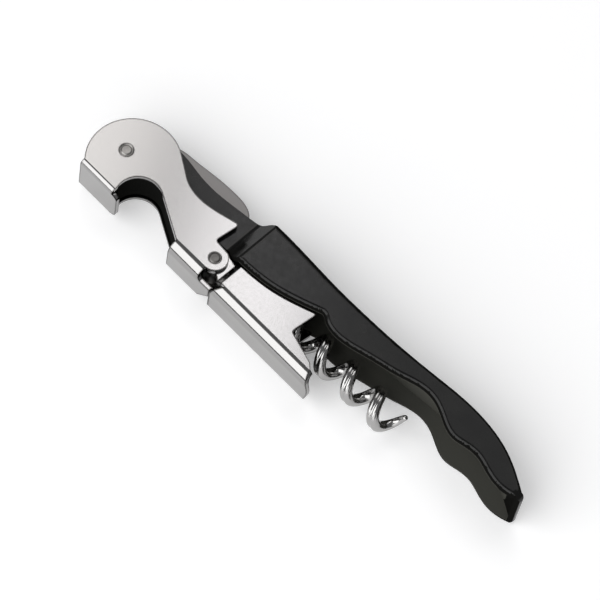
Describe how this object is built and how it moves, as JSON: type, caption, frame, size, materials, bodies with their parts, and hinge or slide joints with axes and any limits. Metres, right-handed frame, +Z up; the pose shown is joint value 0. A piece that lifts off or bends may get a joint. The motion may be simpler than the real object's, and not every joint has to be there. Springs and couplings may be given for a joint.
{
  "type": "lever corkscrew",
  "caption": "Folding corkscrew with a double-hinged lever, crown-cap notch, foil knife and fluted worm stowed along a black channel handle.",
  "frame": {"origin": "centre of the closed tool's footprint, on the surface that its far handle face rests on", "axes": "+X along the closed tool from the head to the tail, +Y towards the back of the handle, +Z up through its thickness"},
  "size_m": [0.117, 0.0214, 0.0135],
  "materials": {
    "black_lacquer": "gloss black lacquer",
    "lever_chrome": "polished nickel-chrome plate",
    "rivet_steel": "dull peened steel",
    "washer_steel": "plain steel",
    "knife_steel": "satin ground steel",
    "worm_chrome": "polished steel wire"
  },
  "bodies": {
    "handle": {"handle_channel": "black_lacquer", "head_rivet": "rivet_steel", "worm_pin": "rivet_steel", "lever_washer_near": "washer_steel", "lever_washer_far": "washer_steel", "knife_spacer_near": "washer_steel", "knife_spacer_far": "washer_steel", "worm_spacer_near": "washer_steel", "worm_spacer_far": "washer_steel"},
    "lever_first": {"lever_first_link": "lever_chrome", "knee_rivet_near": "rivet_steel", "knee_rivet_far": "rivet_steel"},
    "lever_second": {"lever_second_link": "lever_chrome"},
    "knife": {"knife_blade": "knife_steel"},
    "worm": {"worm": "worm_chrome"}
  },
  "joints": [
    {"name": "lever_swing", "type": "hinge", "parent": "handle", "child": "lever_first", "pos_m": [-0.0513, -0.00181, 0.00675], "axis": [0, 0, -1], "range_deg": [0, 140]},
    {"name": "knee_fold", "type": "hinge", "parent": "lever_first", "child": "lever_second", "pos_m": [-0.0212, -0.00511, 0.00675], "axis": [0, 0, -1], "range_deg": [0, 40]},
    {"name": "worm_swing", "type": "hinge", "parent": "handle", "child": "worm", "pos_m": [-0.0268, -0.00156, 0.00675], "axis": [0, 0, -1], "range_deg": [0, 90]},
    {"name": "knife_swing", "type": "hinge", "parent": "handle", "child": "knife", "pos_m": [-0.0513, -0.00181, 0.00675], "axis": [0, 0, 1], "range_deg": [0, 160]}
  ],
  "couplings": [
    {"joint": "worm_swing", "follows": "lever_swing", "ratio": 0.64286}
  ]
}
